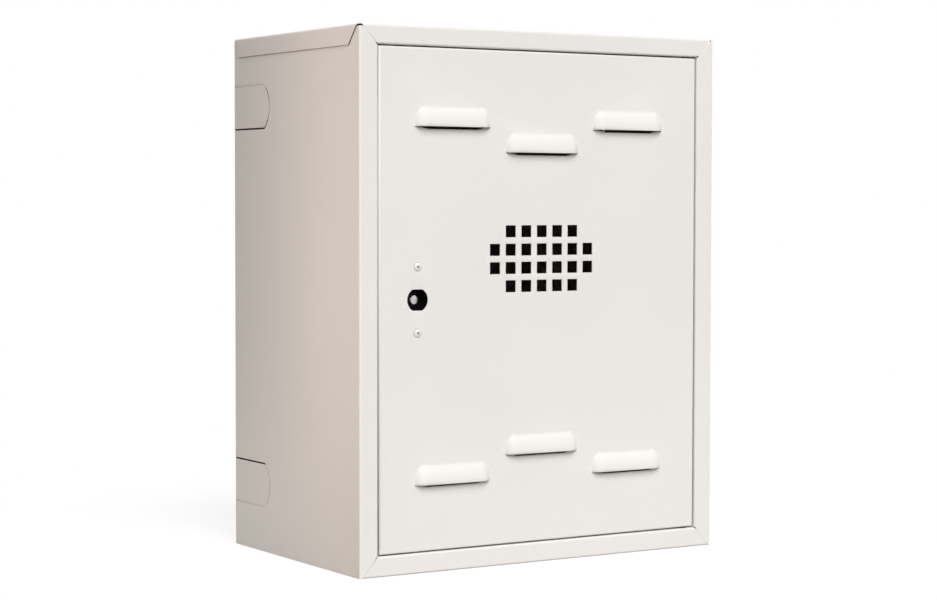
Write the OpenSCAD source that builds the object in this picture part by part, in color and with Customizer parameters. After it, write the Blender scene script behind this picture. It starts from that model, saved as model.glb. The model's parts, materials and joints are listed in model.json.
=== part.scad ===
// Gas meter box: a wall cabinet folded from painted steel sheet, with a flush louvred door
// that turns on two hidden pins and shuts with a quarter-turn key lock.
// Millimetres. X runs to the right, Y back to the wall, Z up; the base stands on Z = 0.

/* [Cabinet] */
// Overall width across the cap
box_w = 400; // [300:1:600]
// Overall height
box_h = 500; // [400:1:800]
// Depth from the front strips to the wall
box_d = 255; // [200:1:400]
// Thickness of the steel sheet
sheet_t = 1; // [0.8:0.1:1.2]
// Inside radius of each fold
bend_r = 1; // [0.8:0.1:1.5]

/* [Front frame] */
// Width of the front strip on the lock side
latch_strip_w = 20.1; // [15:0.1:30]
// Width of the front strip on the hinge side
hinge_strip_w = 20.8; // [15:0.1:30]
// Height of the bottom strip
bottom_strip_h = 18.9; // [14:0.1:30]
// Depth of the returns behind the strips
return_depth = 16.5; // [16:0.5:25]
// Width of the stop lip behind the door on the lock side
stop_lip_w = 10; // [8:0.5:16]
// Height of the base pan's upturned flanges
pan_flange_h = 15; // [10:0.5:25]

/* [Cap] */
// Height of the cap's front strip
cap_front_h = 17.6; // [14:0.1:30]
// Height of the cap's side flanges
cap_side_h = 18.2; // [12:0.1:30]
// Height of the cap's rear flange, inside the back
cap_rear_h = 15; // [10:0.5:25]
// Slope of each side flange's front end, measured along its lower edge
cap_front_mitre = 19.5; // [8:0.1:24]
// Slope of its rear end
cap_rear_mitre = 12.6; // [8:0.1:24]
// Relief cut from each corner of the cap
corner_relief = 3.5; // [3.5:0.1:6]
// Open seam along the mitres of the front frame
mitre_gap = 0.3; // [0.2:0.1:1]

/* [Knock-outs] */
// Height of each knock-out
knockout_h = 42; // [30:0.5:60]
// Straight length of a knock-out from the wall
knockout_len = 66; // [50:0.5:100]
// Bulge of its arched end
knockout_bulge = 10.6; // [4:0.1:14]
// Middle of the upper knock-outs below the top
knockout_drop = 68; // [55:0.5:100]
// Middle of the lower knock-outs above the base
knockout_rise = 65; // [55:0.5:100]
// Width of the shear slit
slit_w = 1.6; // [0.6:0.1:2.4]
// Depth of the scored line that is left uncut
score_depth = 0.3; // [0.1:0.05:0.5]
// Length of the nib left at the end of the arch
nib_len = 2; // [1:0.5:10]
// Straight part left uncut next to the back
rear_keep = 3; // [3:0.5:10]

/* [Wall fixing] */
// Fixing holes in from each side
fixing_in = 35; // [25:1:60]
// Fixing holes in from the top and the base
fixing_end = 40; // [25:1:80]
// Hole diameter
fixing_d = 9; // [6:0.5:12]

/* [Door] */
// Gap on the lock side
latch_gap = 1.2; // [1.2:0.1:3]
// Gap on the hinge side
hinge_gap = 2; // [1.8:0.1:4]
// Gap above the door
top_gap = 1.4; // [1.2:0.1:4]
// Gap below the door
bottom_gap = 1.4; // [1.2:0.1:4]
// Depth of the door's folded edges
door_depth = 15; // [12:0.5:15]
// Sideways place of the pressings from the middle of the door
pattern_x = -2.1; // [-5:0.1:5]

/* [Louvres] */
// Width of a louvre along its lip
louvre_w = 82; // [60:0.5:90]
// Height of a louvre above its lip
louvre_h = 19; // [15:0.5:25]
// How far the lip stands out
louvre_out = 6.5; // [4:0.1:9]
// Radius of a louvre's ends, seen from above
louvre_end_r = 14; // [9.5:0.5:16]
// Sideways pitch of the louvres
louvre_pitch = 98.4; // [92:0.1:110]
// Lips of the upper outer louvres below the door's top edge
louvre_drop = 71.7; // [50:0.1:90]
// Lips of the lower outer louvres above the door's bottom edge
louvre_rise = 61.3; // [40:0.1:90]
// Step of the middle louvre towards the middle of the door
louvre_step = 22.8; // [10:0.1:30]
// Height of the open mouth under each lip
louvre_mouth = 2.4; // [1:0.1:3]
// Taper of the mouth at each end
louvre_taper = 8; // [4:0.5:14]

/* [Vent] */
// Side of each square hole
vent_hole = 11.2; // [6:0.1:12]
// Sideways pitch of the holes
vent_pitch_x = 17.4; // [14:0.1:20]
// Upward pitch of the rows
vent_pitch_z = 17.1; // [14:0.1:20]
// Middle of the vent above the middle of the door
vent_rise = 36.8; // [30:0.1:60]

/* [Lock] */
// Lock axis in from the door's free edge
lock_in = 40; // [38:0.1:44]
// Lock axis above the middle of the door
lock_rise = 0.5; // [-20:0.1:20]
// Diameter of the key hole
key_hole_d = 22; // [20:0.1:22.4]
// Height of the key hole between its flats
key_hole_flat = 19.4; // [18:0.1:20]
// Rivets above and below the lock axis
rivet_reach = 30.3; // [28:0.1:34]
// Rivet shank diameter
rivet_d = 4; // [3.2:0.1:4.8]
// Rivet head diameter
rivet_head_d = 8.4; // [7:0.1:10]
// Rivet head height
rivet_head_h = 1.6; // [1:0.1:2.4]
// Mandrel hole in the rivet
rivet_bore_d = 2.2; // [1.5:0.1:2.6]
// Thickness of the lock case's ears
ear_t = 3; // [2:0.1:4]
// Width of the ears
ear_w = 15; // [12:0.5:18]
// Outside diameter of the lock case
case_d = 28; // [27:0.5:32]
// Bore of the lock case
case_bore_d = 23; // [22.5:0.1:25]
// Back of the lock case behind the door's face
case_back = 16; // [15:0.1:16.2]
// Thickness of the lock case's floor
case_floor = 3.5; // [2.5:0.1:5]
// Diameter of the spindle's nose
nose_d = 8; // [6:0.1:10]
// Nose of the spindle behind the door's face
nose_sunk = 6.4; // [4:0.1:8]
// Diameter of the spindle's shank
spindle_d = 8; // [7.5:0.1:8.4]
// Diameter of the spindle's collar
collar_d = 14; // [13:0.1:16]
// Thickness of the collar
collar_t = 1.5; // [1:0.1:2.5]
// Square of the spindle that drives the cam
drive_sq = 5.6; // [5:0.1:5.8]
// Diameter of the spindle's tail
tail_d = 5; // [4:0.1:5]
// Running clearance of the spindle, on the radius
lock_play = 0.08; // [0.05:0.01:0.1]

/* [Lock cam] */
// Front of the cam behind the door's face
cam_front = 17.4; // [17.3:0.1:19]
// Thickness of the cam
cam_t = 2.5; // [2:0.1:4]
// Reach of the cam from its axis
cam_reach = 38; // [36:0.1:38.5]
// Width of the cam's arm
cam_w = 15; // [12:0.5:18]
// Diameter of the cam's boss end
cam_hub_d = 20; // [18:0.5:24]
// Thickness of the flat washer
washer_t = 1; // [0.8:0.1:1.6]
// Diameter of the flat washer
washer_d = 12; // [10:0.5:16]
// Thickness of the nut
nut_t = 4; // [3:0.1:6]
// Width of the nut across its corners
nut_corners = 9.2; // [8:0.1:11]
// Tail showing beyond the nut
tail_over = 1.5; // [1:0.1:3]
// Diameter of the spring washer
spring_d = 15; // [12:0.5:20]
// Gap between the spring washer and the case
spring_gap = 0.2; // [0.1:0.05:0.3]

/* [Hinge] */
// Pin axis in from the door's hinge edge
pin_in = 9; // [8.5:0.1:11]
// Pin axis behind the door's face
pin_sunk = 6; // [5.5:0.1:7]
// Diameter of the pins
pin_d = 5; // [4:0.1:6]
// Running clearance of the pins, on the radius
pin_play = 0.1; // [0.05:0.01:0.1]
// Diameter of the pin heads
pin_head_d = 8.5; // [8:0.1:9]
// Thickness of the pin heads
pin_head_t = 2; // [1:0.1:3]
// Length of the pins beyond the frame's lips
pin_over = 5; // [3:0.1:8]
// Diameter of the hinge washers
hinge_washer_d = 9.5; // [9:0.1:10]
// Play above the hinge washers
hinge_washer_play = 0.2; // [0.1:0.05:0.4]

/* [Hidden] */
$fn = 96;
// Overrun of every cut
over = 2;
bend_out = bend_r + sheet_t;
// Rows of the vent, from the top, by number of holes
vent_rows = [5, 7, 7, 5];
side_signs = [-1, 1];
column_shares = [-1, 0, 1];

front_y = -(box_d - louvre_out) / 2;
half_w = box_w / 2;
body_x = half_w - sheet_t;
inner_x = body_x - sheet_t;
wrap_h = box_h - bend_out;
inner_back = box_d - sheet_t;

open_l = -(half_w - latch_strip_w);
open_r = half_w - hinge_strip_w;
open_top = box_h - cap_front_h;
open_bottom = bottom_strip_h;
mitre_x = half_w - corner_relief;

door_l = open_l + latch_gap;
door_r = open_r - hinge_gap;
door_bottom = open_bottom + bottom_gap;
door_top = open_top - top_gap;
door_mid_x = (door_l + door_r) / 2;
door_mid_z = (door_bottom + door_top) / 2;
door_w = door_r - door_l;
door_h = door_top - door_bottom;
pattern_mid = door_mid_x + pattern_x;

lock_x = door_l + lock_in;
lock_z = door_mid_z + lock_rise;
pin_x = door_r - pin_in;

fixing_x = box_w - 2 * fixing_in;
fixing_z = box_h - 2 * fixing_end;

knockout_r = (knockout_h * knockout_h / 4 + knockout_bulge * knockout_bulge) / (2 * knockout_bulge);

// The louvre's round back: its radius, and its centre behind the door's face
louvre_span = louvre_h * louvre_h / louvre_out;
louvre_r = (louvre_span + louvre_out) / 2;
louvre_c = (louvre_span - louvre_out) / 2;
louvre_end_run = sqrt(2 * louvre_end_r * louvre_out - louvre_out * louvre_out);
louvre_flat = louvre_w / 2 - louvre_end_run;
mouth_half = (louvre_w - louvre_end_run) / 2;

nut_front = cam_front + cam_t + washer_t;
tail_end = nut_front + nut_t + tail_over;
rivet_ball_r = (rivet_head_d * rivet_head_d / 4 + rivet_head_h * rivet_head_h) / (2 * rivet_head_h);
rivet_bulb_d = rivet_d * 3 / 2;
rivet_bulb_t = rivet_d / 2;

paint = [0.91, 0.90, 0.87];
zinc = [0.72, 0.73, 0.75];
black = [0.08, 0.08, 0.09];
nylon = [0.19, 0.19, 0.185];

// One quarter of a fold's section
module fold_quarter(turn) {
    rotate(turn)
        intersection() {
            difference() {
                circle(r = bend_out);
                circle(r = bend_r);
            }
            square(bend_out + over);
        }
}

// The section of a folded sheet: flats joined by quarter turns, left for 1 and right for -1
module folded(flats, turns, k = 0) {
    square([flats[k], sheet_t]);
    if (k < len(turns)) {
        if (turns[k] > 0) {
            translate([flats[k], bend_out]) fold_quarter(-90);
            translate([flats[k] + bend_out, bend_out]) rotate(90) folded(flats, turns, k + 1);
        } else {
            translate([flats[k], -bend_r]) fold_quarter(0);
            translate([flats[k] + bend_r, -bend_r]) rotate(-90) folded(flats, turns, k + 1);
        }
    }
}

// Puts a section drawn in Y and Z along X
module along_x(from, to) {
    translate([from, 0, 0])
        rotate([90, 0, 90])
            linear_extrude(height = to - from)
                children();
}

// Puts a section drawn in X and Z along Y
module along_y(from, to) {
    translate([0, to, 0])
        rotate([90, 0, 0])
            linear_extrude(height = to - from)
                children();
}

// A round rod on the lock axis, from one depth to another
module lock_rod(d, from, to) {
    translate([lock_x, from, lock_z])
        rotate([-90, 0, 0])
            cylinder(d = d, h = to - from);
}

// A round rod upright on the hinge axis
module hinge_rod(d, from, to) {
    translate([pin_x, pin_sunk, from])
        cylinder(d = d, h = to - from);
}

module placed() {
    translate([0, front_y, 0])
        children();
}

// The front frame's mitred outline at the top, as a region in X and Z
module top_mitre(gap) {
    polygon([
        [open_l - gap, open_top - gap],
        [open_r + gap, open_top - gap],
        [mitre_x + gap, box_h + gap],
        [-mitre_x - gap, box_h + gap]
    ]);
}

// The same at the bottom
module bottom_mitre() {
    polygon([
        [-mitre_x, 0],
        [mitre_x, 0],
        [open_r, open_bottom],
        [open_l, open_bottom]
    ]);
}

// One long side of a knock-out, above or below its middle: u from the wall to the front, v upwards
module knockout_side(s) {
    translate([rear_keep, s * knockout_h / 2 - slit_w / 2])
        square([knockout_len - rear_keep, slit_w]);
}

// Its arched end, up to the nib
module knockout_arch() {
    intersection() {
        translate([knockout_len + knockout_bulge - knockout_r, 0])
            difference() {
                circle(r = knockout_r + slit_w / 2);
                circle(r = knockout_r - slit_w / 2);
            }
        translate([knockout_len - slit_w, -knockout_h / 2 - slit_w / 2])
            square([knockout_bulge + slit_w + over, knockout_h - nib_len]);
    }
}

// Lines sheared right through the left wall
module sheared() {
    translate([-inner_x + over, box_d, 0])
        rotate([90, 0, -90])
            linear_extrude(height = sheet_t + 2 * over)
                children();
}

// Lines only scored into its outside
module scored() {
    translate([-body_x + score_depth, box_d, 0])
        rotate([90, 0, -90])
            linear_extrude(height = score_depth + over)
                children();
}

// An upper knock-out: sheared below and round its arch, scored above
module upper_knockout() {
    sheared() {
        knockout_side(-1);
        knockout_arch();
    }
    scored()
        knockout_side(1);
}

// A lower knock-out, drawn upside down: sheared on one side, scored round the rest
module lower_knockout() {
    sheared()
        knockout_side(-1);
    scored() {
        knockout_arch();
        knockout_side(1);
    }
}

module body_section() {
    translate([open_l + stop_lip_w, return_depth])
        rotate(180)
            folded(
                [
                    stop_lip_w + sheet_t - bend_out,
                    return_depth - 2 * bend_out,
                    open_l + body_x - 2 * bend_out,
                    box_d - 2 * bend_out,
                    2 * body_x - 2 * bend_out,
                    box_d - 2 * bend_out,
                    body_x - open_r - 2 * bend_out,
                    return_depth - bend_out
                ],
                [1, -1, -1, -1, -1, -1, -1]
            );
}

module body_wrap() {
    color(paint)
        placed()
            difference() {
                linear_extrude(height = wrap_h)
                    body_section();
                along_y(-over, return_depth + over)
                    top_mitre(mitre_gap);
                along_y(-over, return_depth + over)
                    bottom_mitre();
                for (z = [-over, open_top - mitre_gap])
                    translate([open_l - 2 * sheet_t, -over, z])
                        cube([open_r - open_l + 4 * sheet_t, return_depth + 2 * over,
                              (z < 0 ? open_bottom + mitre_gap : cap_front_h) + over]);
                for (s = [0, 1])
                    mirror([s, 0, 0]) {
                        translate([0, 0, box_h - knockout_drop])
                            upper_knockout();
                        translate([0, 0, knockout_rise])
                            mirror([0, 0, 1])
                                lower_knockout();
                    }
                for (sx = side_signs, sz = side_signs)
                    translate([sx * fixing_x / 2, inner_back - over, box_h / 2 + sz * fixing_z / 2])
                        rotate([-90, 0, 0])
                            cylinder(d = fixing_d, h = sheet_t + 2 * over);
            }
}

module top_cap() {
    color(paint)
        placed()
            difference() {
                union() {
                    intersection() {
                        along_x(-mitre_x, mitre_x)
                            translate([return_depth, open_top + sheet_t])
                                rotate(180)
                                    folded(
                                        [
                                            return_depth - bend_out,
                                            cap_front_h - 2 * bend_out,
                                            inner_back - 2 * bend_out,
                                            cap_rear_h - bend_out
                                        ],
                                        [-1, -1, -1]
                                    );
                        along_y(-over, box_d)
                            top_mitre(0);
                    }
                    intersection() {
                        along_y(corner_relief, box_d - corner_relief)
                            translate([-body_x, box_h - cap_side_h])
                                rotate(90)
                                    folded(
                                        [
                                            cap_side_h - bend_out,
                                            box_w - 2 * bend_out,
                                            cap_side_h - bend_out
                                        ],
                                        [-1, -1]
                                    );
                        along_x(-half_w - over, half_w + over)
                            polygon([
                                [cap_front_mitre, box_h - cap_side_h],
                                [box_d - cap_rear_mitre, box_h - cap_side_h],
                                [box_d - corner_relief, box_h],
                                [corner_relief, box_h]
                            ]);
                    }
                }
                hinge_rod(pin_d + 2 * pin_play, open_top - over, open_top + sheet_t + over);
            }
}

module bottom_pan() {
    color(paint)
        placed()
            difference() {
                union() {
                    intersection() {
                        along_x(-mitre_x, mitre_x)
                            translate([return_depth, open_bottom])
                                rotate(180)
                                    folded(
                                        [
                                            return_depth - bend_out,
                                            bottom_strip_h - 2 * bend_out,
                                            inner_back - 2 * bend_out,
                                            pan_flange_h - bend_out
                                        ],
                                        [1, 1, 1]
                                    );
                        along_y(-over, box_d)
                            bottom_mitre();
                    }
                    along_y(corner_relief, inner_back - corner_relief)
                        translate([-inner_x, pan_flange_h])
                            rotate(-90)
                                folded(
                                    [
                                        pan_flange_h - bend_out,
                                        2 * inner_x - 2 * bend_out,
                                        pan_flange_h - bend_out
                                    ],
                                    [1, 1]
                                );
                }
                hinge_rod(pin_d + 2 * pin_play, open_bottom - sheet_t - over, open_bottom + over);
            }
}

// Filled section of the door seen from an edge: width by depth, with its two front corners rounded
module door_section(from, to, front, back, r) {
    translate([from + r, front])
        square([to - from - 2 * r, back - front]);
    translate([from, front + r])
        square([to - from, back - front - r]);
    for (a = [from + r, to - r])
        translate([a, front + r])
            circle(r = r);
}

// A block with the door's rounded front edges
module door_block(inset, back, r) {
    intersection() {
        translate([0, 0, door_bottom + inset])
            linear_extrude(height = door_h - 2 * inset)
                door_section(door_l + inset, door_r - inset, inset, back, r);
        along_x(door_l + inset, door_r - inset)
            mirror([1, -1])
                door_section(door_bottom + inset, door_top - inset, inset, back, r);
    }
}

// A louvre's bulge, thinned by t on its outside; its lip lies on Z = 0 and the door's face on Y = 0
module louvre_bulge(t) {
    intersection() {
        translate([0, louvre_c, 0])
            rotate([0, 90, 0])
                rotate_extrude() {
                    translate([0, -louvre_flat])
                        square([louvre_r - t, 2 * louvre_flat]);
                    translate([0, -louvre_flat - louvre_end_r + t])
                        square([louvre_r - louvre_end_r, 2 * (louvre_flat + louvre_end_r - t)]);
                    for (s = side_signs)
                        translate([louvre_r - louvre_end_r, s * louvre_flat])
                            circle(r = louvre_end_r - t);
                }
        translate([-louvre_w, -louvre_out - over, 0])
            cube([2 * louvre_w, louvre_out + over + sheet_t + t, louvre_h + over]);
    }
}

// The open mouth under a lip, drawn out to a point at each end
module louvre_opening() {
    along_y(-over, sheet_t + over)
        polygon([
            [-mouth_half, 0],
            [-mouth_half + louvre_taper, -louvre_mouth],
            [mouth_half - louvre_taper, -louvre_mouth],
            [mouth_half, 0],
            [mouth_half - louvre_taper, sheet_t],
            [-mouth_half + louvre_taper, sheet_t]
        ]);
}

// Places a louvre at each of its six places
module louvre_places() {
    for (c = column_shares) {
        step = louvre_step * (1 - abs(c));
        translate([pattern_mid + c * louvre_pitch, 0, door_top - louvre_drop - step])
            children();
        translate([pattern_mid + c * louvre_pitch, 0, door_bottom + louvre_rise + step])
            children();
    }
}

module vent_holes() {
    for (row = [0 : len(vent_rows) - 1])
        for (k = [0 : vent_rows[row] - 1])
            translate([
                pattern_mid + (k - (vent_rows[row] - 1) / 2) * vent_pitch_x,
                door_mid_z + vent_rise + ((len(vent_rows) - 1) / 2 - row) * vent_pitch_z
            ])
                square(vent_hole, center = true);
}

module door_panel() {
    color(paint)
        placed()
            difference() {
                union() {
                    difference() {
                        door_block(0, door_depth, bend_out);
                        door_block(sheet_t, door_depth + over, bend_r);
                    }
                    louvre_places()
                        louvre_bulge(0);
                }
                louvre_places() {
                    louvre_bulge(sheet_t);
                    louvre_opening();
                }
                along_y(-over, sheet_t + over)
                    vent_holes();
                along_y(-over, sheet_t + over)
                    translate([lock_x, lock_z])
                        intersection() {
                            circle(d = key_hole_d);
                            square([key_hole_d + over, key_hole_flat], center = true);
                        }
                for (s = side_signs)
                    translate([0, 0, s * rivet_reach])
                        lock_rod(rivet_d, -over, sheet_t + over);
                hinge_rod(pin_d, door_bottom - over, door_bottom + sheet_t + over);
                hinge_rod(pin_d, door_top - sheet_t - over, door_top + over);
            }
}

module upper_hinge_pin() {
    color(zinc)
        placed()
            union() {
                hinge_rod(pin_head_d, door_top - sheet_t - pin_head_t, door_top - sheet_t);
                hinge_rod(pin_d, door_top - sheet_t - pin_head_t, open_top + sheet_t + pin_over);
            }
}

module lower_hinge_pin() {
    color(zinc)
        placed()
            union() {
                hinge_rod(pin_head_d, door_bottom + sheet_t, door_bottom + sheet_t + pin_head_t);
                hinge_rod(pin_d, open_bottom - sheet_t - pin_over, door_bottom + sheet_t + pin_head_t);
            }
}

module hinge_washers() {
    color(nylon)
        placed()
            difference() {
                union() {
                    hinge_rod(hinge_washer_d, open_bottom + hinge_washer_play, door_bottom);
                    hinge_rod(hinge_washer_d, door_top, open_top - hinge_washer_play);
                }
                hinge_rod(pin_d, open_bottom - over, door_bottom + over);
                hinge_rod(pin_d, door_top - over, open_top + over);
            }
}

module lock_case() {
    color(black)
        placed()
            difference() {
                union() {
                    along_y(sheet_t, sheet_t + ear_t)
                        translate([lock_x, lock_z]) {
                            square([ear_w, 2 * rivet_reach], center = true);
                            for (s = side_signs)
                                translate([0, s * rivet_reach])
                                    circle(d = ear_w);
                        }
                    lock_rod(case_d, sheet_t, case_back);
                }
                lock_rod(case_bore_d, 0, case_back - case_floor);
                lock_rod(spindle_d + 2 * lock_play, 0, case_back + over);
                for (s = side_signs)
                    translate([0, 0, s * rivet_reach])
                        lock_rod(rivet_d, 0, sheet_t + ear_t + over);
            }
}

// A blind rivet at the lock axis: domed head, shank, and the bulb behind the case's ear
module blind_rivet() {
    difference() {
        union() {
            intersection() {
                translate([lock_x, rivet_ball_r - rivet_head_h, lock_z])
                    sphere(r = rivet_ball_r);
                lock_rod(rivet_head_d, -rivet_head_h - over, 0);
            }
            lock_rod(rivet_d, -rivet_head_h / 2, sheet_t + ear_t + rivet_bulb_t);
            lock_rod(rivet_bulb_d, sheet_t + ear_t, sheet_t + ear_t + rivet_bulb_t);
        }
        lock_rod(rivet_bore_d, -rivet_head_h - over, sheet_t);
    }
}

module lock_rivets() {
    color(paint)
        placed()
            for (s = side_signs)
                translate([0, 0, s * rivet_reach])
                    blind_rivet();
}

module drive_square(side, from, to) {
    along_y(from, to)
        translate([lock_x, lock_z])
            square(side, center = true);
}

module lock_spindle() {
    color(zinc)
        placed()
            union() {
                lock_rod(nose_d, nose_sunk, case_back - case_floor);
                lock_rod(collar_d, case_back - case_floor - collar_t, case_back - case_floor);
                lock_rod(spindle_d, case_back - case_floor, cam_front);
                drive_square(drive_sq, cam_front, cam_front + cam_t);
                lock_rod(tail_d, cam_front + cam_t, tail_end);
            }
}

module lock_spring_washer() {
    color(zinc)
        placed()
            difference() {
                lock_rod(spring_d, case_back + spring_gap, cam_front);
                lock_rod(spindle_d, case_back, cam_front + over);
            }
}

module lock_cam() {
    color(zinc)
        placed()
            difference() {
                along_y(cam_front, cam_front + cam_t)
                    translate([lock_x, lock_z]) {
                        circle(d = cam_hub_d);
                        translate([-cam_w / 2, -cam_reach + cam_w / 2])
                            square([cam_w, cam_reach - cam_w / 2]);
                        translate([0, -cam_reach + cam_w / 2])
                            circle(d = cam_w);
                    }
                drive_square(drive_sq, cam_front - over, cam_front + cam_t + over);
            }
}

module cam_washer() {
    color(zinc)
        placed()
            difference() {
                lock_rod(washer_d, cam_front + cam_t, nut_front);
                lock_rod(tail_d, cam_front, nut_front + over);
            }
}

module cam_nut() {
    color(zinc)
        placed()
            difference() {
                along_y(nut_front, nut_front + nut_t)
                    translate([lock_x, lock_z])
                        circle(d = nut_corners, $fn = 6);
                lock_rod(tail_d, nut_front - over, nut_front + nut_t + over);
            }
}

body_wrap();
top_cap();
bottom_pan();
door_panel();
upper_hinge_pin();
lower_hinge_pin();
hinge_washers();
lock_case();
lock_rivets();
lock_spindle();
lock_spring_washer();
lock_cam();
cam_washer();
cam_nut();
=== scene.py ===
"""Looks of a gas meter box: powder-coated sheet steel, a zinc lock and a white studio."""
import json
import math

import bpy
from mathutils import Matrix, Vector


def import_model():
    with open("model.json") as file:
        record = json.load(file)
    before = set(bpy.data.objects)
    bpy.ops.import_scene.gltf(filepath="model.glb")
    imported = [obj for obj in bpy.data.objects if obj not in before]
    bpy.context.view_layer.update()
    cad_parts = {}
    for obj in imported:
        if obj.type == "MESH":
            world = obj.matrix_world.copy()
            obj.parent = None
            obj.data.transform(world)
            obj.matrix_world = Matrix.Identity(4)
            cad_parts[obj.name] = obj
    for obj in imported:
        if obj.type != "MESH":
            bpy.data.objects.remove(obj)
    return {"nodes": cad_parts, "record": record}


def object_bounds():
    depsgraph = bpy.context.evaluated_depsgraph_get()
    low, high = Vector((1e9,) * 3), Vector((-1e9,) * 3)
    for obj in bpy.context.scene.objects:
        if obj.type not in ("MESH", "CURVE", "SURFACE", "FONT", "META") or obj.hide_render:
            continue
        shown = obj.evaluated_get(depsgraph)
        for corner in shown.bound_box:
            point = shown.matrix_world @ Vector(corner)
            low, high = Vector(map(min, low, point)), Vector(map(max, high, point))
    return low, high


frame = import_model()
cad_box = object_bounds()
box_left, box_base = cad_box[0][0], cad_box[0][2]

# Camera, fitted to the photograph's frame of 937 x 600 (metres, degrees, millimetres for its lens)
CAMERA_AT = Vector((-1.1916, -1.9074, 0.3445))
CAMERA_YAW = -31.844
CAMERA_PITCH = 2.578
CAMERA_ROLL = 0.084
CAMERA_LENS = 87.371
CAMERA_SENSOR = 36.0
# A camera or a sun looks straight down until it is tipped by this many degrees
LEVEL = 90.0

# Linear colours, most with a dark and a pale tone
PAINT = (0.815, 0.813, 0.794)
PAINT_WARM = (0.797, 0.793, 0.773)
# Painted shade: the dark brown that seams, gaps and rivet bores are darkened towards where they are shut
# in
PAINTED_SHADE = (0.110, 0.078, 0.060)
ZINC = (0.495, 0.482, 0.468)
ZINC_PALE = (0.655, 0.642, 0.628)
BLACK = (0.004, 0.004, 0.004)
BLACK_PALE = (0.008, 0.008, 0.008)
NYLON = (0.030, 0.029, 0.028)
NYLON_PALE = (0.055, 0.053, 0.050)
WHITE = (1.0, 1.0, 1.0)

# The noise that moves a base colour: its detail, and where it turns from the dark to the pale tone
MOTTLE_DETAIL = 3.0
MOTTLE_DARK = 0.35
MOTTLE_PALE = 0.65
# Its scale for each finish
PAINT_MOTTLE = 5.0
ZINC_MOTTLE = 160.0
BLACK_MOTTLE = 300.0
NYLON_MOTTLE = 200.0

# The fine grain of each finish: its noise, its bump (depth in metres) and its roughness
GRAIN_DETAIL = 2.0
PAINT_GRAIN = {"scale": 700.0, "strength": 0.08, "depth": 0.0002,
               "rough_low": 0.38, "rough_high": 0.5}
ZINC_GRAIN = {"scale": 900.0, "strength": 0.15, "depth": 0.0001,
              "rough_low": 0.28, "rough_high": 0.45, "stretch": (1, 0.2, 1)}
BLACK_GRAIN = {"scale": 1200.0, "strength": 0.2, "depth": 0.0001,
               "rough_low": 0.45, "rough_high": 0.6}
NYLON_GRAIN = {"scale": 1500.0, "strength": 0.1, "depth": 0.0001,
               "rough_low": 0.4, "rough_high": 0.5}
# Shine: the level of the highlight on the paint and on the lock, and full metal for the zinc
PAINT_SPECULAR = 0.35
BLACK_SPECULAR = 0.03
METAL = 1.0

# Painted shade in seams, gaps and rivet bores, darker where the surface is shut in: its reach in the
# seams and in the rivets (metres), and the openness at which it is full and gone
SEAM_SHADE_REACH = 0.004
RIVET_SHADE_REACH = 0.002
PAINTED_SHADE_FULL = 0.40
PAINTED_SHADE_GONE = 0.88
OPENNESS_SAMPLES = 8
# The painted seam shade stays on the side walls, whose seams lie further out than this and higher than
# this
SEAM_OUT = 0.196
SEAM_UP = 0.006

# Inside of the cabinet: from behind the returns of its front to the middle of its sheets (metres)
SHEET = 0.001
INSIDE_FRONT = -0.107
# The lid laps over the side walls, so these lie one sheet further in than the other sheets
to_middle = Vector((1.5 * SHEET, 0.5 * SHEET, 0.5 * SHEET))
inside_low = Vector(cad_box[0]) + to_middle
inside_low.y = INSIDE_FRONT
inside_high = Vector(cad_box[1]) - to_middle
inside_middle = (inside_low + inside_high) / 2
inside_half = (inside_high - inside_low) / 2
# The share of the paint's tone that is kept there
INSIDE_TONE = 0.62

# Smooth folds: the largest angle that is smoothed, the weld's reach (metres) and the pull of large faces
SMOOTH_ANGLE = math.radians(48)
WELD_DISTANCE = 1e-6
FACE_WEIGHT = 100

# A mix node has sockets for each kind of data, and these are the ones for colours
MIX_SHARE, MIX_FIRST, MIX_SECOND, MIX_RESULT = 0, 6, 7, 2

# Floor: its size, what the camera sees of it, and what it throws back at the box
FLOOR_SIZE = 14.0
FLOOR_GLOW = 0.80
FLOOR_GREY = 0.26
FLOOR_BOUNCE = (0.31, 0.283, 0.260)
# Distances from the middle of the box between which the floor passes from shaded to plain white
SHADE_FULL = 0.30
SHADE_GONE = 0.62
# The strength at which white shows as plain white
PLAIN = 1.0

# The even light from all around
WORLD_LIGHT = 0.163
WORLD_COLOUR = (1.0, 0.86, 0.78)

# Suns, each with its height, its turn from the front towards the left and its breadth (degrees)
KEY_SUN = {"rise": 37.0, "left": 8.2, "breadth": 50.0, "power": 3.15}
# This one lights the sides that the photograph doesn't show
REAR_SUN = {"rise": 20.0, "left": -135.0, "breadth": 50.0, "power": 1.10}
# A warm strip close to the front edge of the left wall
STRIP = {"at": (-0.42, -0.095, 0.38), "aim": (box_left, -0.13, 0.38), "size": (0.06, 0.76),
         "power": 0.45, "colour": (1.0, 0.82, 0.71)}
# A weak lamp just above the floor, for the lower part of the left wall
LOW = {"at": (-0.40, 0.12, 0.02), "aim": (box_left, 0.12, 0.04), "size": (0.20, 0.03),
       "power": 0.048, "colour": (1.0, 0.94, 0.90)}


def add_node(tree, kind, **values):
    """A new shader node with its named inputs or properties set."""
    node = tree.nodes.new(kind)
    for name, value in values.items():
        if name in node.inputs:
            node.inputs[name].default_value = value
        else:
            setattr(node, name, value)
    return node


def rgba(colour):
    return (*colour, 1.0)


def new_material(name):
    material = bpy.data.materials.new(name)
    material.use_nodes = True
    tree = material.node_tree
    return material, tree, tree.nodes["Principled BSDF"]


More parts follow.
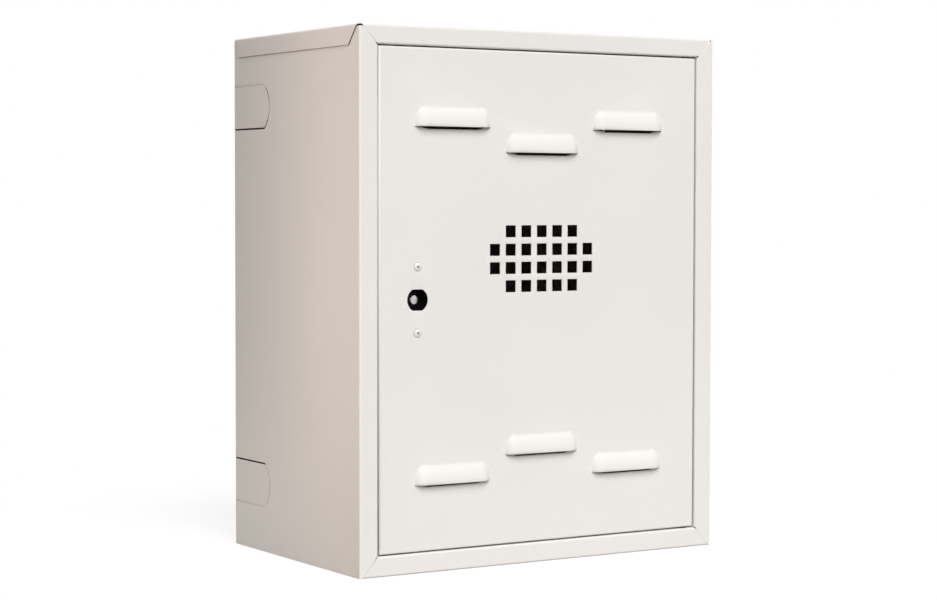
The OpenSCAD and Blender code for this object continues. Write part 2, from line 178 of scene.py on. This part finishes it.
def mottled(tree, shader, dark, pale, scale):
    """Lets a soft noise move the base colour between two tones."""
    place = add_node(tree, "ShaderNodeTexCoord")
    noise = add_node(tree, "ShaderNodeTexNoise", Scale=scale, Detail=MOTTLE_DETAIL)
    ramp = add_node(tree, "ShaderNodeValToRGB")
    ramp.color_ramp.elements[0].position = MOTTLE_DARK
    ramp.color_ramp.elements[1].position = MOTTLE_PALE
    ramp.color_ramp.elements[0].color = rgba(dark)
    ramp.color_ramp.elements[1].color = rgba(pale)
    tree.links.new(place.outputs["Object"], noise.inputs["Vector"])
    tree.links.new(noise.outputs["Fac"], ramp.inputs["Fac"])
    tree.links.new(ramp.outputs["Color"], shader.inputs["Base Color"])
    return place


def off_the_seams(tree, place):
    """One everywhere but on the side walls above their lower edge, where it is zero, so that the painted
    seam shade is kept only there.
    """
    axes = add_node(tree, "ShaderNodeSeparateXYZ")
    out = add_node(tree, "ShaderNodeMath", operation="ABSOLUTE")
    inside = add_node(tree, "ShaderNodeMath", operation="LESS_THAN")
    inside.inputs[1].default_value = SEAM_OUT
    below = add_node(tree, "ShaderNodeMath", operation="LESS_THAN")
    below.inputs[1].default_value = SEAM_UP
    either = add_node(tree, "ShaderNodeMath", operation="MAXIMUM")
    tree.links.new(place.outputs["Object"], axes.inputs["Vector"])
    tree.links.new(axes.outputs["X"], out.inputs[0])
    tree.links.new(out.outputs["Value"], inside.inputs[0])
    tree.links.new(axes.outputs["Z"], below.inputs[0])
    tree.links.new(inside.outputs["Value"], either.inputs[0])
    tree.links.new(below.outputs["Value"], either.inputs[1])
    return either.outputs["Value"]


def with_painted_shade(tree, shader, reach, unshaded=None):
    """Paints shade into the base colour: darkens it where the surface is shut in, but not where the
    unshaded mask says so.
    """
    tone = shader.inputs["Base Color"].links[0].from_socket
    openness = add_node(tree, "ShaderNodeAmbientOcclusion", samples=OPENNESS_SAMPLES)
    openness.inputs["Distance"].default_value = reach
    amount = add_node(tree, "ShaderNodeMapRange", interpolation_type="SMOOTHSTEP")
    amount.inputs["From Min"].default_value = PAINTED_SHADE_FULL
    amount.inputs["From Max"].default_value = PAINTED_SHADE_GONE
    mix = add_node(tree, "ShaderNodeMix", data_type="RGBA")
    mix.inputs[MIX_FIRST].default_value = rgba(PAINTED_SHADE)
    tree.links.new(openness.outputs["AO"], amount.inputs["Value"])
    share = amount.outputs["Result"]
    if unshaded is not None:
        either = add_node(tree, "ShaderNodeMath", operation="MAXIMUM")
        tree.links.new(share, either.inputs[0])
        tree.links.new(unshaded, either.inputs[1])
        share = either.outputs["Value"]
    tree.links.new(share, mix.inputs[MIX_SHARE])
    tree.links.new(tone, mix.inputs[MIX_SECOND])
    tree.links.new(mix.outputs[MIX_RESULT], shader.inputs["Base Color"])


def darker_inside(tree, shader, place):
    """Multiplies the base colour inside the cabinet by a share, so that the inside is darker than the
    outside.
    """
    tone = shader.inputs["Base Color"].links[0].from_socket
    offset = add_node(tree, "ShaderNodeVectorMath", operation="SUBTRACT")
    offset.inputs[1].default_value = inside_middle
    size = add_node(tree, "ShaderNodeVectorMath", operation="ABSOLUTE")
    beyond = add_node(tree, "ShaderNodeVectorMath", operation="SUBTRACT")
    beyond.inputs[1].default_value = inside_half
    axes = add_node(tree, "ShaderNodeSeparateXYZ")
    across = add_node(tree, "ShaderNodeMath", operation="MAXIMUM")
    most = add_node(tree, "ShaderNodeMath", operation="MAXIMUM")
    within = add_node(tree, "ShaderNodeMath", operation="LESS_THAN")
    within.inputs[1].default_value = 0.0
    mix = add_node(tree, "ShaderNodeMix", data_type="RGBA", blend_type="MULTIPLY")
    mix.inputs[MIX_SECOND].default_value = rgba((INSIDE_TONE,) * 3)
    tree.links.new(place.outputs["Object"], offset.inputs[0])
    tree.links.new(offset.outputs["Vector"], size.inputs[0])
    tree.links.new(size.outputs["Vector"], beyond.inputs[0])
    tree.links.new(beyond.outputs["Vector"], axes.inputs["Vector"])
    tree.links.new(axes.outputs["X"], across.inputs[0])
    tree.links.new(axes.outputs["Y"], across.inputs[1])
    tree.links.new(across.outputs["Value"], most.inputs[0])
    tree.links.new(axes.outputs["Z"], most.inputs[1])
    tree.links.new(most.outputs["Value"], within.inputs[0])
    tree.links.new(within.outputs["Value"], mix.inputs[MIX_SHARE])
    tree.links.new(tone, mix.inputs[MIX_FIRST])
    tree.links.new(mix.outputs[MIX_RESULT], shader.inputs["Base Color"])


def grained(tree, shader, place, scale, strength, depth, rough_low, rough_high, stretch=(1, 1, 1)):
    """Fine bump, and a roughness that varies with it."""
    mapping = add_node(tree, "ShaderNodeMapping", Scale=stretch)
    grain = add_node(tree, "ShaderNodeTexNoise", Scale=scale, Detail=GRAIN_DETAIL)
    bump = add_node(tree, "ShaderNodeBump", Strength=strength, Distance=depth)
    rough = add_node(tree, "ShaderNodeMapRange")
    rough.inputs["To Min"].default_value = rough_low
    rough.inputs["To Max"].default_value = rough_high
    tree.links.new(place.outputs["Object"], mapping.inputs["Vector"])
    tree.links.new(mapping.outputs["Vector"], grain.inputs["Vector"])
    tree.links.new(grain.outputs["Fac"], bump.inputs["Height"])
    tree.links.new(grain.outputs["Fac"], rough.inputs["Value"])
    tree.links.new(bump.outputs["Normal"], shader.inputs["Normal"])
    tree.links.new(rough.outputs["Result"], shader.inputs["Roughness"])


def paint_material(name, shade_reach=0.0, seams_only=False, dark_inside=False):
    """Satin powder coat with a faint orange peel, with painted shade in its hollows and a darker inside
    where asked for.
    """
    material, tree, shader = new_material(name)
    shader.inputs["Specular IOR Level"].default_value = PAINT_SPECULAR
    place = mottled(tree, shader, PAINT_WARM, PAINT, PAINT_MOTTLE)
    if dark_inside:
        darker_inside(tree, shader, place)
    if shade_reach:
        with_painted_shade(tree, shader, shade_reach, off_the_seams(tree, place) if seams_only else None)
    grained(tree, shader, place, **PAINT_GRAIN)
    return material


def zinc_material():
    material, tree, shader = new_material("zinc_plate")
    shader.inputs["Metallic"].default_value = METAL
    place = mottled(tree, shader, ZINC, ZINC_PALE, ZINC_MOTTLE)
    grained(tree, shader, place, **ZINC_GRAIN)
    return material


def lock_material():
    material, tree, shader = new_material("lock_black")
    shader.inputs["Specular IOR Level"].default_value = BLACK_SPECULAR
    place = mottled(tree, shader, BLACK, BLACK_PALE, BLACK_MOTTLE)
    grained(tree, shader, place, **BLACK_GRAIN)
    return material


def nylon_material():
    material, tree, shader = new_material("nylon")
    place = mottled(tree, shader, NYLON, NYLON_PALE, NYLON_MOTTLE)
    grained(tree, shader, place, **NYLON_GRAIN)
    return material


def dress_nodes():
    """Gives every CAD node its material and smooth folds."""
    by_slot = {
        "paint": paint_material("powder_coat"),
        # The rivets' paint has painted shade in their bores
        "rivet": paint_material("rivet_paint", RIVET_SHADE_REACH),
        "zinc": zinc_material(),
        "lock_black": lock_material(),
        "nylon": nylon_material(),
    }
    # The walls and the lid have painted shade in their seams and gaps
    walls = paint_material("wall_powder_coat", SEAM_SHADE_REACH, seams_only=True, dark_inside=True)
    pan = paint_material("pan_powder_coat", dark_inside=True)
    # The walls, the lid and the pan are darker on the inside of the cabinet
    by_node = {"body_wrap": walls, "top_cap": walls, "bottom_pan": pan}
    slots = {s["node"]: s["material_slot"] for s in frame["record"]["subparts"]}
    for name, piece in frame["nodes"].items():
        piece.data.materials.clear()
        piece.data.materials.append(by_node.get(name, by_slot[slots[name]]))
        weld = piece.modifiers.new("weld", "WELD")
        weld.merge_threshold = WELD_DISTANCE
        piece.data.shade_smooth()
        piece.data.set_sharp_from_angle(angle=SMOOTH_ANGLE)
        flat = piece.modifiers.new("face_weighted", "WEIGHTED_NORMAL")
        flat.keep_sharp = True
        flat.weight = FACE_WEIGHT


def camera_ray_mix(tree, seen, lit):
    """Shows one shader to the camera, in mirrors and through glass, and another to all else."""
    rays = add_node(tree, "ShaderNodeLightPath")
    glossy = add_node(tree, "ShaderNodeMath", operation="MAXIMUM")
    through = add_node(tree, "ShaderNodeMath", operation="MAXIMUM")
    mix = add_node(tree, "ShaderNodeMixShader")
    tree.links.new(rays.outputs["Is Camera Ray"], glossy.inputs[0])
    tree.links.new(rays.outputs["Is Glossy Ray"], glossy.inputs[1])
    tree.links.new(glossy.outputs["Value"], through.inputs[0])
    tree.links.new(rays.outputs["Is Transmission Ray"], through.inputs[1])
    tree.links.new(through.outputs["Value"], mix.inputs["Fac"])
    tree.links.new(lit.outputs[0], mix.inputs[1])
    tree.links.new(seen.outputs[0], mix.inputs[2])
    return mix


def fades_to_white(tree, near):
    """The near shader close to the box, and plain white further off."""
    place = add_node(tree, "ShaderNodeTexCoord")
    length = add_node(tree, "ShaderNodeVectorMath", operation="LENGTH")
    share = add_node(tree, "ShaderNodeMapRange", interpolation_type="SMOOTHSTEP")
    share.inputs["From Min"].default_value = SHADE_FULL
    share.inputs["From Max"].default_value = SHADE_GONE
    white = add_node(tree, "ShaderNodeEmission", Color=rgba(WHITE), Strength=PLAIN)
    mix = add_node(tree, "ShaderNodeMixShader")
    tree.links.new(place.outputs["Object"], length.inputs[0])
    tree.links.new(length.outputs["Value"], share.inputs["Value"])
    tree.links.new(share.outputs["Result"], mix.inputs["Fac"])
    tree.links.new(near.outputs[0], mix.inputs[1])
    tree.links.new(white.outputs[0], mix.inputs[2])
    return mix


def floor():
    """A white floor that still takes a faint shadow."""
    bpy.ops.mesh.primitive_plane_add(size=FLOOR_SIZE, location=(0, 0, box_base))
    plane = bpy.context.object
    plane.name = "studio_floor"
    material = bpy.data.materials.new("studio_floor")
    material.use_nodes = True
    tree = material.node_tree
    tree.nodes.remove(tree.nodes["Principled BSDF"])
    glow = add_node(tree, "ShaderNodeEmission", Color=rgba(WHITE), Strength=FLOOR_GLOW)
    grey = add_node(tree, "ShaderNodeBsdfDiffuse", Color=rgba((FLOOR_GREY,) * 3))
    seen = add_node(tree, "ShaderNodeAddShader")
    tree.links.new(glow.outputs[0], seen.inputs[0])
    tree.links.new(grey.outputs[0], seen.inputs[1])
    lit = add_node(tree, "ShaderNodeBsdfDiffuse", Color=rgba(FLOOR_BOUNCE))
    mix = camera_ray_mix(tree, fades_to_white(tree, seen), lit)
    tree.links.new(mix.outputs[0], tree.nodes["Material Output"].inputs["Surface"])
    plane.data.materials.append(material)


def world():
    """White to the camera, a plain even light to the object."""
    place = bpy.data.worlds.new("studio")
    bpy.context.scene.world = place
    place.use_nodes = True
    tree = place.node_tree
    seen = tree.nodes["Background"]
    seen.inputs["Color"].default_value = rgba(WHITE)
    seen.inputs["Strength"].default_value = PLAIN
    lit = add_node(tree, "ShaderNodeBackground", Color=rgba(WORLD_COLOUR), Strength=WORLD_LIGHT)
    mix = camera_ray_mix(tree, seen, lit)
    tree.links.new(mix.outputs[0], tree.nodes["World Output"].inputs["Surface"])


def hang(name, lamp):
    """Puts a lamp in the scene. Its highlight would bleach the lid, so it makes none."""
    lamp_object = bpy.data.objects.new(name, lamp)
    bpy.context.collection.objects.link(lamp_object)
    lamp_object.visible_glossy = False
    return lamp_object


def sun(name, rise, left, breadth, power):
    """One broad even light, the same over the whole box."""
    lamp = bpy.data.lights.new(name, "SUN")
    lamp.energy = power
    lamp.angle = math.radians(breadth)
    lamp_object = hang(name, lamp)
    lamp_object.rotation_euler = (math.radians(LEVEL - rise), 0.0, -math.radians(left))


def softbox(name, at, aim, size, power, colour):
    """An area lamp of a width and height that looks at a point."""
    lamp = bpy.data.lights.new(name, "AREA")
    lamp.shape = "RECTANGLE"
    lamp.size, lamp.size_y = size
    lamp.energy = power
    lamp.color = colour
    lamp_object = hang(name, lamp)
    lamp_object.visible_camera = False
    lamp_object.location = at
    lamp_object.rotation_euler = (Vector(aim) - Vector(at)).to_track_quat("-Z", "Y").to_euler()


def lights():
    sun("key", **KEY_SUN)
    sun("rear", **REAR_SUN)
    softbox("strip", **STRIP)
    softbox("low", **LOW)


def camera():
    lens = bpy.data.cameras.new("photo_camera")
    lens.lens = CAMERA_LENS
    lens.sensor_width = CAMERA_SENSOR
    eye = bpy.data.objects.new("photo_camera", lens)
    bpy.context.collection.objects.link(eye)
    turn = Matrix.Rotation(math.radians(CAMERA_YAW), 4, "Z")
    tilt = Matrix.Rotation(math.radians(LEVEL - CAMERA_PITCH), 4, "X")
    roll = Matrix.Rotation(math.radians(CAMERA_ROLL), 4, "Z")
    eye.matrix_world = Matrix.Translation(CAMERA_AT) @ turn @ tilt @ roll
    bpy.context.scene.camera = eye


camera()
dress_nodes()
floor()
world()
lights()
bpy.context.scene.view_settings.view_transform = "Standard"
